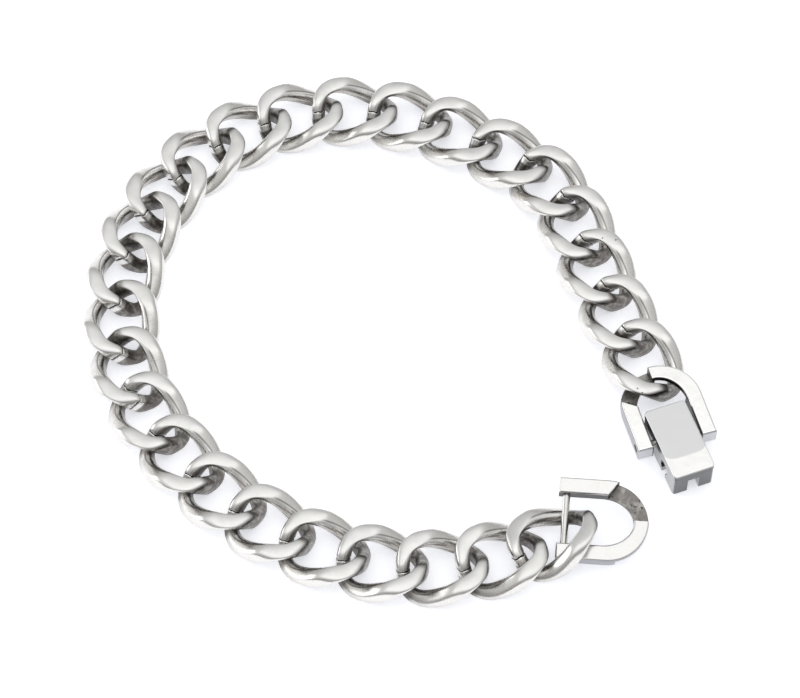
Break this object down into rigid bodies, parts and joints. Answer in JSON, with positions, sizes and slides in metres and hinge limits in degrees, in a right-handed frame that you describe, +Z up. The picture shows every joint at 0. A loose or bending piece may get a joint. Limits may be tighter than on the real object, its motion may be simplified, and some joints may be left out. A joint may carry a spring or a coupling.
{
  "type": "curb chain bracelet",
  "caption": "Curb-chain wrist bracelet of twisted, flat-ground steel links, lying open in a C, with a U-shaped end link at each end and a folding lever clasp.",
  "frame": {"origin": "on the ground, under the middle of the bracelet's bounding box", "axes": "+X to the right in the picture and the longest way, +Y away from the camera, +Z up out of the ground that it lies on"},
  "size_m": [0.0834, 0.081, 0.0061],
  "materials": {
    "link_steel": "polished stainless steel, flats lapped, fine wear scratches",
    "end_link_steel": "polished stainless steel, milled seats left rough",
    "pin_steel": "drawn and polished stainless steel wire",
    "lever_steel": "satin stainless steel with a polished band at the catch end"
  },
  "bodies": {
    "bracelet": {"link_01": "link_steel", "link_02": "link_steel", "link_03": "link_steel", "link_04": "link_steel", "link_05": "link_steel", "link_06": "link_steel", "link_07": "link_steel", "link_08": "link_steel", "link_09": "link_steel", "link_10": "link_steel", "link_11": "link_steel", "link_12": "link_steel", "link_13": "link_steel", "link_14": "link_steel", "link_15": "link_steel", "link_16": "link_steel", "link_17": "link_steel", "link_18": "link_steel", "link_19": "link_steel", "link_20": "link_steel", "link_21": "link_steel", "link_22": "link_steel", "link_23": "link_steel", "link_24": "link_steel", "link_25": "link_steel", "link_26": "link_steel", "catch_end_link": "end_link_steel", "catch_bar": "pin_steel", "lever_end_link": "end_link_steel", "hinge_pin": "pin_steel"},
    "lever": {"clasp_lever": "lever_steel"}
  },
  "joints": [
    {"name": "lever_hinge", "type": "hinge", "parent": "bracelet", "child": "lever", "pos_m": [0.03628, -0.01651, 0.00225], "axis": [-0.9583, -0.2857, 0], "range_deg": [0, 100]}
  ]
}
